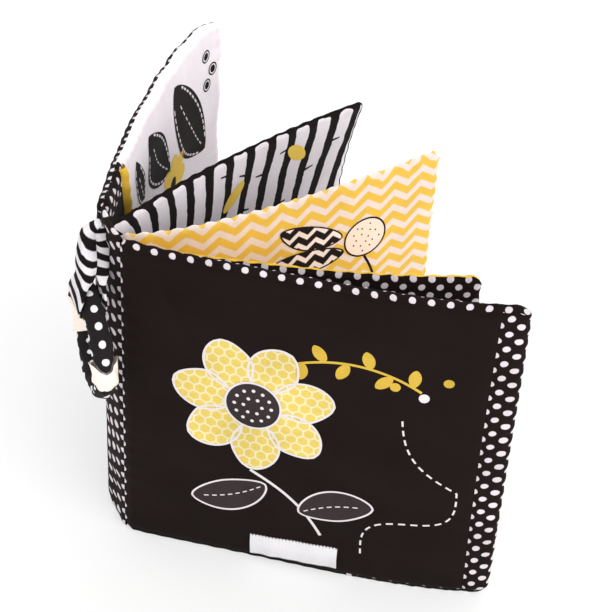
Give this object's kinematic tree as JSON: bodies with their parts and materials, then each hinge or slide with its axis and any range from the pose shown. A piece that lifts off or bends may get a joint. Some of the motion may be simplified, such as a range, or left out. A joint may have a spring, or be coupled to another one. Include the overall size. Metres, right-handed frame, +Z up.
{
  "type": "baby cloth book",
  "caption": "Soft cloth book for a baby: padded covers and leaves turn on a sewn cloth spine, and a stuffed ring hangs from a loop at its top.",
  "frame": {"origin": "foot of the cloth spine, midway between the two covers' roots, on the surface that the book stands on", "axes": "+X along the front cover from the spine to its fore-edge, +Y away from the front cover's outer face towards the fanned leaves, +Z up"},
  "size_m": [0.1895, 0.212, 0.16],
  "materials": {
    "black_cotton": "matt",
    "dotted_cotton": "matt, white dots on black",
    "yellow_cotton": "matt, white zigzags on the front of the chevron leaf",
    "striped_cotton": "matt, black stripes on white",
    "white_cotton": "matt",
    "cream_satin": "soft sheen",
    "wadding": "fluffy",
    "rustle_film": "glossy"
  },
  "bodies": {
    "spine_and_chevron_leaf": {"spine_panel": "dotted_cotton", "spine_lining": "black_cotton", "chevron_leaf_front": "yellow_cotton", "chevron_leaf_back": "dotted_cotton", "chevron_leaf_wadding": "wadding", "chevron_leaf_film": "rustle_film"},
    "dot_leaf": {"dot_leaf_front": "dotted_cotton", "dot_leaf_back": "yellow_cotton", "dot_leaf_wadding": "wadding", "dot_leaf_film": "rustle_film"},
    "front_cover": {"front_cover_panel": "black_cotton", "front_cover_fore_band": "dotted_cotton", "front_cover_lining": "dotted_cotton", "front_cover_wadding": "wadding", "front_cover_label": "white_cotton"},
    "birch_leaf": {"birch_leaf_front": "striped_cotton", "birch_leaf_back": "black_cotton", "birch_leaf_wadding": "wadding", "birch_leaf_film": "rustle_film"},
    "back_cover": {"back_cover_panel": "black_cotton", "back_cover_gutter_panel": "black_cotton", "back_cover_piping": "yellow_cotton", "back_cover_page": "white_cotton", "back_cover_wadding": "wadding"},
    "loop": {"hanging_loop": "striped_cotton"},
    "ring": {"ring_dotted_sleeve_front": "dotted_cotton", "ring_plain_sleeve_lower": "cream_satin", "ring_dotted_sleeve_back": "dotted_cotton", "ring_plain_sleeve_upper": "cream_satin", "ring_wadding": "wadding"}
  },
  "joints": [
    {"name": "dot_leaf_turn", "type": "hinge", "parent": "spine_and_chevron_leaf", "child": "dot_leaf", "pos_m": [0.00555, -0.00365, 0.08], "axis": [0, 0, 1], "range_deg": [-36, 26.5], "deforming": ["spine_panel", "spine_lining"]},
    {"name": "front_cover_turn", "type": "hinge", "parent": "dot_leaf", "child": "front_cover", "pos_m": [0.00764, -0.00958, 0.08], "axis": [0, 0, 1], "range_deg": [-46, 2.5]},
    {"name": "birch_leaf_turn", "type": "hinge", "parent": "spine_and_chevron_leaf", "child": "birch_leaf", "pos_m": [-0.00117, 0.00654, 0.08], "axis": [0, 0, 1], "range_deg": [-18, 12]},
    {"name": "back_cover_turn", "type": "hinge", "parent": "birch_leaf", "child": "back_cover", "pos_m": [-0.00579, 0.01079, 0.08], "axis": [0, 0, 1], "range_deg": [-22, 15]},
    {"name": "loop_swing", "type": "hinge", "parent": "spine_and_chevron_leaf", "child": "loop", "pos_m": [-0.00297, 0.00403, 0.154], "axis": [0.5505, -0.8348, 0], "range_deg": [-115, 0]},
    {"name": "ring_turn", "type": "hinge", "parent": "loop", "child": "ring", "pos_m": [-0.00375, -0.01514, 0.11132], "axis": [-0.8916, -0.4406, -0.1045], "continuous": true}
  ]
}
